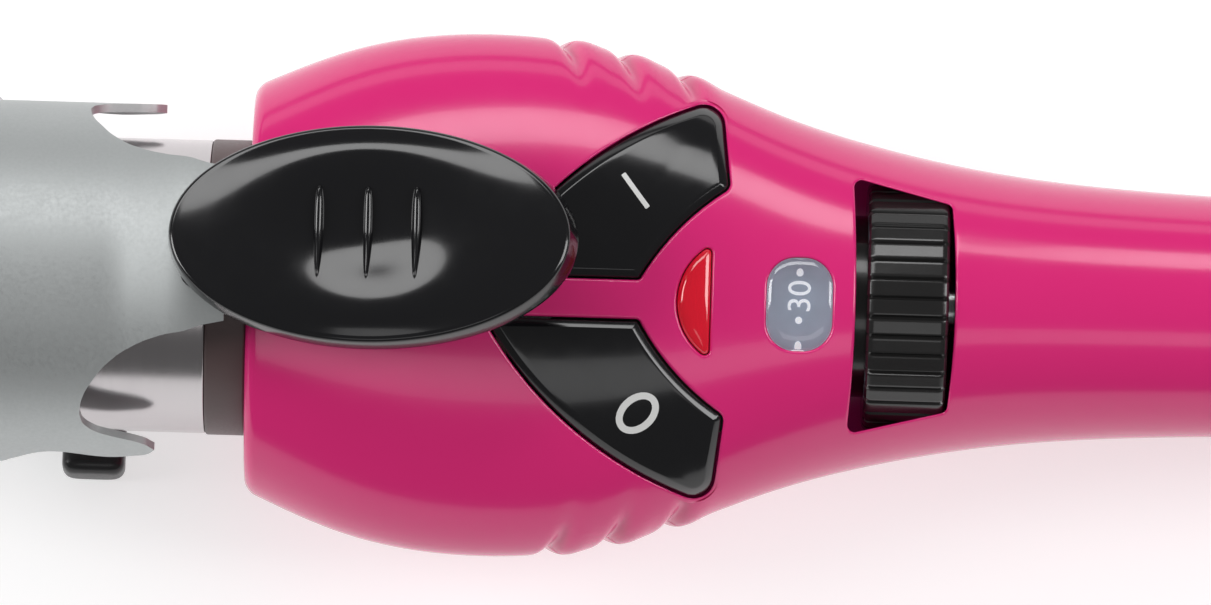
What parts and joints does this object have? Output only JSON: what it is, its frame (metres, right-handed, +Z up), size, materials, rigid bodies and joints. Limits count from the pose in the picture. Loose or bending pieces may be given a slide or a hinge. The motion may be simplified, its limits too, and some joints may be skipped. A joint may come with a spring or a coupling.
{
  "type": "curling iron",
  "caption": "Spring-clamp curling iron with a round heated barrel, thumb lever, folding stand, push buttons, temperature dial wheel and swivelling cord inlet.",
  "frame": {"origin": "middle of the tool's length and width, on the surface it lies on with its stand folded", "axes": "+X along the tool from the barrel's cool tip to the cord inlet, +Z up through the clamp's thumb lever, +Y completing a right-handed frame"},
  "size_m": [0.3592, 0.0557, 0.0504],
  "materials": {
    "polished_metal": "polished, anodised clear",
    "satin_metal": "satin",
    "plated_steel": "plated",
    "bare_aluminium": "as drawn",
    "black_gloss": "high gloss",
    "black_plastic": "fine texture",
    "foot_plastic": "smooth",
    "dial_plastic": "smooth",
    "drum_plastic": "smooth, grey-blue with white figures",
    "collar_resin": "satin, taupe",
    "pink_gloss": "high gloss, raspberry pink",
    "red_lens": "translucent red",
    "clear_lens": "clear, blue-grey tint",
    "board_laminate": "solder mask",
    "heater_ceramic": "fired",
    "sleeve_rubber": "glass-fibre sleeve",
    "sensor_glass": "bead",
    "switch_plunger": "moulded",
    "capacitor_resin": "dipped",
    "terminal_nylon": "moulded",
    "ring_brass": "turned"
  },
  "bodies": {
    "tool": {"barrel_tube": "polished_metal", "barrel_tip": "black_plastic", "barrel_collar": "collar_resin", "heater_element": "heater_ceramic", "heat_spreader_upper": "bare_aluminium", "heat_spreader_lower": "bare_aluminium", "heater_lead_live": "sleeve_rubber", "heater_lead_neutral": "sleeve_rubber", "thermal_fuse": "plated_steel", "temperature_sensor": "sensor_glass", "hinge_band": "plated_steel", "clamp_pin_left": "plated_steel", "clamp_pin_right": "plated_steel", "clamp_spring": "plated_steel", "handle_shell_upper": "pink_gloss", "handle_shell_lower": "pink_gloss", "shell_screw_front_far": "plated_steel", "shell_screw_front_near": "plated_steel", "shell_screw_middle": "plated_steel", "shell_screw_rear": "plated_steel", "lamp_lens": "red_lens", "window_lens": "clear_lens", "potentiometer": "plated_steel", "control_board": "board_laminate", "board_screw_1": "plated_steel", "board_screw_2": "plated_steel", "switch_on": "black_plastic", "switch_off": "black_plastic", "lamp_led": "red_lens", "capacitor": "capacitor_resin", "triac": "black_plastic", "terminal_block": "terminal_nylon", "swivel_socket": "black_plastic", "brush_1": "ring_brass", "brush_2": "ring_brass"},
    "clamp": {"clamp_blade": "satin_metal", "thumb_lever": "black_gloss", "lever_base": "black_plastic", "lever_screw_left": "plated_steel", "lever_screw_right": "plated_steel"},
    "stand": {"stand_frame": "plated_steel", "stand_foot": "foot_plastic", "stand_pin": "plated_steel"},
    "on_button": {"button_on": "black_gloss", "plunger_on": "switch_plunger"},
    "off_button": {"button_off": "black_gloss", "plunger_off": "switch_plunger"},
    "dial": {"dial_wheel": "dial_plastic", "dial_drum": "drum_plastic", "dial_shaft": "plated_steel"},
    "swivel": {"swivel_sleeve": "black_plastic", "slip_ring_1": "ring_brass", "slip_ring_2": "ring_brass"}
  },
  "joints": [
    {"name": "clamp_hinge", "type": "hinge", "parent": "tool", "child": "clamp", "pos_m": [-0.0242, 0, 0.0226], "axis": [0, 1, 0], "range_deg": [0, 5.6], "stiffness_Nm_per_rad": 0.45, "springref_deg": -34.38, "deforming": ["clamp_spring"]},
    {"name": "stand_hinge", "type": "hinge", "parent": "tool", "child": "stand", "pos_m": [-0.0282, 0, 0.003], "axis": [0, 1, 0], "range_deg": [0, 100]},
    {"name": "on_button_press", "type": "slide", "parent": "tool", "child": "on_button", "axis": [0, 0.2419, -0.9703], "range_m": [0, 0.001], "stiffness_N_per_m": 400, "springref_m": -0.002},
    {"name": "off_button_press", "type": "slide", "parent": "tool", "child": "off_button", "axis": [0, 0.2419, -0.9703], "range_m": [0, 0.001], "stiffness_N_per_m": 400, "springref_m": -0.002},
    {"name": "dial_turn", "type": "hinge", "parent": "tool", "child": "dial", "pos_m": [0.0724, -0.00063, 0.02512], "axis": [1, 0, 0], "range_deg": [-68, 170]},
    {"name": "cord_swivel", "type": "hinge", "parent": "tool", "child": "swivel", "pos_m": [0.1796, 0, 0.0226], "axis": [1, 0, 0], "continuous": true}
  ]
}
